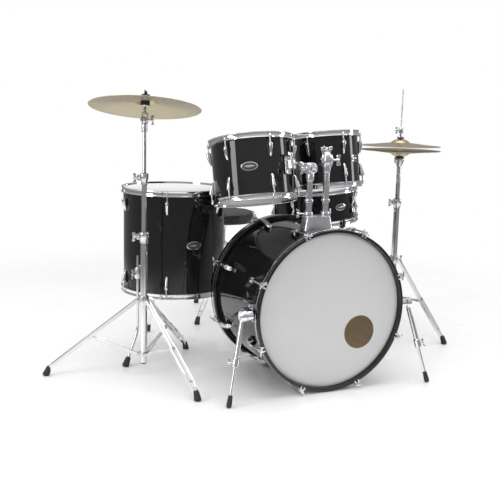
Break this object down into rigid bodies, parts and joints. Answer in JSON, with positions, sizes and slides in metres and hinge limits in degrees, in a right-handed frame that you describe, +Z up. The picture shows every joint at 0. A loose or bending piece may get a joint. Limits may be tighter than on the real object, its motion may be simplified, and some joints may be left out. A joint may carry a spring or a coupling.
{
  "type": "drum kit",
  "caption": "Acoustic drum kit with bass drum, rack toms, floor tom, snare drum, hi-hat and crash cymbal on folding stands, foot pedals and a round drummer's throne.",
  "frame": {"origin": "on the floor, under the middle of the whole kit's bounding box", "axes": "+Z up, +X to the right of someone facing the front of the bass drum, along the kit's width, +Y from the front of the bass drum to the drummer"},
  "size_m": [1.7866, 1.4842, 1.1],
  "materials": {
    "black_lacquer": "gloss black lacquer on plywood",
    "chrome": "polished",
    "head_film": "coated polyester film",
    "bronze": "lathed and traditional",
    "black_vinyl": "grained vinyl over foam",
    "steel_wire": "coiled wire"
  },
  "bodies": {
    "crash_brace_1": {"crash_brace_1": "chrome"},
    "crash_brace_2": {"crash_brace_2": "chrome"},
    "crash_brace_3": {"crash_brace_3": "chrome"},
    "crash_collar": {"crash_collar": "chrome"},
    "crash_cymbal": {"crash_cymbal": "bronze"},
    "crash_leg_1": {"crash_leg_1": "chrome"},
    "crash_leg_2": {"crash_leg_2": "chrome"},
    "crash_leg_3": {"crash_leg_3": "chrome"},
    "crash_mid_tube": {"crash_mid_tube": "chrome"},
    "crash_tilter": {"crash_tilter": "chrome"},
    "crash_top_tube": {"crash_top_tube": "chrome"},
    "floor_tom_leg_1": {"floor_tom_leg_1": "chrome"},
    "floor_tom_leg_2": {"floor_tom_leg_2": "chrome"},
    "floor_tom_leg_3": {"floor_tom_leg_3": "chrome"},
    "hat_footboard": {"hat_footboard": "chrome"},
    "hat_pull_rod": {"hat_pull_rod": "chrome", "hat_top_cymbal": "bronze"},
    "hat_tube": {"hat_bottom_cymbal": "bronze", "hat_tube": "chrome"},
    "kit": {"bass_batter_head": "head_film", "bass_front_head": "head_film", "bass_front_hoop": "black_lacquer", "bass_rear_hoop": "black_lacquer", "bass_shell": "black_lacquer", "crash_base_tube": "chrome", "floor_tom_batter_head": "head_film", "floor_tom_bottom_rim": "chrome", "floor_tom_shell": "black_lacquer", "floor_tom_top_rim": "chrome", "hat_base": "chrome", "pedal_frame": "chrome", "snare_stand_base": "chrome", "throne_base": "chrome", "tom_mount_base": "chrome"},
    "large_tom_arm": {"large_tom_arm": "chrome", "large_tom_batter_head": "head_film", "large_tom_bottom_rim": "chrome", "large_tom_shell": "black_lacquer", "large_tom_top_rim": "chrome"},
    "large_tom_post": {"large_tom_post": "chrome"},
    "pedal_beater": {"pedal_beater": "chrome"},
    "pedal_footboard": {"pedal_footboard": "chrome"},
    "small_tom_arm": {"small_tom_arm": "chrome", "small_tom_batter_head": "head_film", "small_tom_bottom_rim": "chrome", "small_tom_shell": "black_lacquer", "small_tom_top_rim": "chrome"},
    "small_tom_post": {"small_tom_post": "chrome"},
    "snare_basket": {"snare_basket": "chrome", "snare_batter_head": "head_film", "snare_bottom_rim": "chrome", "snare_shell": "black_lacquer", "snare_top_rim": "chrome", "snare_wires": "steel_wire"},
    "snare_throw_off": {"snare_throw_off": "chrome"},
    "spur_rod_left": {"spur_rod_left": "chrome"},
    "spur_rod_right": {"spur_rod_right": "chrome"},
    "spur_tube_left": {"spur_tube_left": "chrome"},
    "spur_tube_right": {"spur_tube_right": "chrome"},
    "throne_seat": {"throne_seat": "black_vinyl"}
  },
  "joints": [
    {"name": "spur_fold_left", "type": "hinge", "parent": "kit", "child": "spur_tube_left", "pos_m": [-0.29557, -0.67272, 0.3], "axis": [1, 0, 0], "range_deg": [0, 100]},
    {"name": "spur_length_left", "type": "slide", "parent": "spur_tube_left", "child": "spur_rod_left", "axis": [-0.2232, -0.1881, -0.9565], "range_m": [-0.05, 0.03]},
    {"name": "spur_fold_right", "type": "hinge", "parent": "kit", "child": "spur_tube_right", "pos_m": [0.37243, -0.67272, 0.3], "axis": [1, 0, 0], "range_deg": [0, 100]},
    {"name": "spur_length_right", "type": "slide", "parent": "spur_tube_right", "child": "spur_rod_right", "axis": [0.2232, -0.1881, -0.9565], "range_m": [-0.05, 0.03]},
    {"name": "large_tom_height", "type": "slide", "parent": "kit", "child": "large_tom_post", "axis": [0, 0, 1], "range_m": [-0.02, 0.03]},
    {"name": "large_tom_tilt", "type": "hinge", "parent": "large_tom_post", "child": "large_tom_arm", "pos_m": [0.00443, -0.55572, 0.794], "axis": [0.9614, 0.2753, 0], "range_deg": [-3, 16]},
    {"name": "small_tom_height", "type": "slide", "parent": "kit", "child": "small_tom_post", "axis": [0, 0, 1], "range_m": [-0.02, 0.03]},
    {"name": "small_tom_tilt", "type": "hinge", "parent": "small_tom_post", "child": "small_tom_arm", "pos_m": [0.07243, -0.55572, 0.824], "axis": [0.8819, -0.4715, 0], "range_deg": [-3, 16]},
    {"name": "floor_tom_leg_1_height", "type": "slide", "parent": "kit", "child": "floor_tom_leg_1", "axis": [0, 0, 1], "range_m": [-0.03, 0.08]},
    {"name": "floor_tom_leg_2_height", "type": "slide", "parent": "kit", "child": "floor_tom_leg_2", "axis": [0, 0, 1], "range_m": [-0.03, 0.08]},
    {"name": "floor_tom_leg_3_height", "type": "slide", "parent": "kit", "child": "floor_tom_leg_3", "axis": [0, 0, 1], "range_m": [-0.03, 0.08]},
    {"name": "crash_leg_1_fold", "type": "hinge", "parent": "crash_collar", "child": "crash_leg_1", "pos_m": [-0.51224, -0.26519, 0.284], "axis": [-0.7009, 0.7133, 0], "range_deg": [0, 40]},
    {"name": "crash_leg_2_fold", "type": "hinge", "parent": "crash_collar", "child": "crash_leg_2", "pos_m": [-0.55583, -0.27646, 0.284], "axis": [-0.2672, -0.9636, 0], "range_deg": [0, 40]},
    {"name": "crash_leg_3_fold", "type": "hinge", "parent": "crash_collar", "child": "crash_leg_3", "pos_m": [-0.52427, -0.30858, 0.284], "axis": [0.9681, 0.2504, 0], "range_deg": [0, 40]},
    {"name": "crash_collar_slide", "type": "slide", "parent": "kit", "child": "crash_collar", "axis": [0, 0, 1], "range_m": [0, 0.1925]},
    {"name": "crash_brace_1_fold", "type": "hinge", "parent": "kit", "child": "crash_brace_1", "pos_m": [-0.51224, -0.26519, 0.078], "axis": [-0.7009, 0.7133, 0], "range_deg": [-54.3, 0]},
    {"name": "crash_brace_2_fold", "type": "hinge", "parent": "kit", "child": "crash_brace_2", "pos_m": [-0.55583, -0.27646, 0.078], "axis": [-0.2672, -0.9636, 0], "range_deg": [-54.3, 0]},
    {"name": "crash_brace_3_fold", "type": "hinge", "parent": "kit", "child": "crash_brace_3", "pos_m": [-0.52427, -0.30858, 0.078], "axis": [0.9681, 0.2504, 0], "range_deg": [-54.3, 0]},
    {"name": "crash_mid_height", "type": "slide", "parent": "kit", "child": "crash_mid_tube", "axis": [0, 0, 1], "range_m": [-0.1, 0.08]},
    {"name": "crash_top_height", "type": "slide", "parent": "crash_mid_tube", "child": "crash_top_tube", "axis": [0, 0, 1], "range_m": [-0.06, 0.08]},
    {"name": "crash_tilt", "type": "hinge", "parent": "crash_top_tube", "child": "crash_tilter", "pos_m": [-0.53078, -0.28341, 0.95], "axis": [0.8829, -0.4695, 0], "range_deg": [-10, 20]},
    {"name": "crash_rock", "type": "hinge", "parent": "crash_tilter", "child": "crash_cymbal", "pos_m": [-0.52288, -0.26855, 1.02719], "axis": [0.8829, -0.4695, 0], "range_deg": [-6, 6], "stiffness_Nm_per_rad": 8},
    {"name": "hat_height", "type": "slide", "parent": "kit", "child": "hat_tube", "axis": [0, 0, 1], "range_m": [-0.08, 0.06]},
    {"name": "hat_footboard_press", "type": "hinge", "parent": "kit", "child": "hat_footboard", "pos_m": [0.59661, 0.20007, 0.024], "axis": [-0.9205, -0.3907, 0], "range_deg": [-3.9, 0], "stiffness_Nm_per_rad": 30, "springref_deg": 11.46},
    {"name": "hat_rod_pull", "type": "slide", "parent": "hat_tube", "child": "hat_pull_rod", "axis": [0, 0, 1], "range_m": [-0.017, 0]},
    {"name": "throne_swivel", "type": "hinge", "parent": "kit", "child": "throne_seat", "pos_m": [0.09343, 0.48426, 0.36], "axis": [0, 0, 1], "continuous": true},
    {"name": "snare_height", "type": "slide", "parent": "kit", "child": "snare_basket", "axis": [0, 0, 1], "range_m": [-0.05, 0.01]},
    {"name": "snare_throw_off_release", "type": "hinge", "parent": "snare_basket", "child": "snare_throw_off", "pos_m": [0.30172, 0.21284, 0.57096], "axis": [-0.9801, -0.1788, -0.0858], "range_deg": [0, 90]},
    {"name": "pedal_press", "type": "hinge", "parent": "kit", "child": "pedal_footboard", "pos_m": [0.03843, 0.09608, 0.022], "axis": [1, 0, 0], "range_deg": [0, 13], "stiffness_Nm_per_rad": 8, "springref_deg": -14.32},
    {"name": "pedal_beat", "type": "hinge", "parent": "kit", "child": "pedal_beater", "pos_m": [0.03843, -0.16992, 0.185], "axis": [1, 0, 0], "range_deg": [0, 65.1]}
  ],
  "couplings": [
    {"joint": "crash_leg_2_fold", "follows": "crash_leg_1_fold", "ratio": 1},
    {"joint": "crash_leg_3_fold", "follows": "crash_leg_1_fold", "ratio": 1},
    {"joint": "crash_collar_slide", "follows": "crash_leg_1_fold", "m_per_rad": 0.2757},
    {"joint": "crash_brace_1_fold", "follows": "crash_leg_1_fold", "ratio": -1.355},
    {"joint": "crash_brace_2_fold", "follows": "crash_leg_1_fold", "ratio": -1.355},
    {"joint": "crash_brace_3_fold", "follows": "crash_leg_1_fold", "ratio": -1.355},
    {"joint": "hat_rod_pull", "follows": "hat_footboard_press", "m_per_rad": 0.243},
    {"joint": "pedal_beat", "follows": "pedal_press", "ratio": 5}
  ]
}
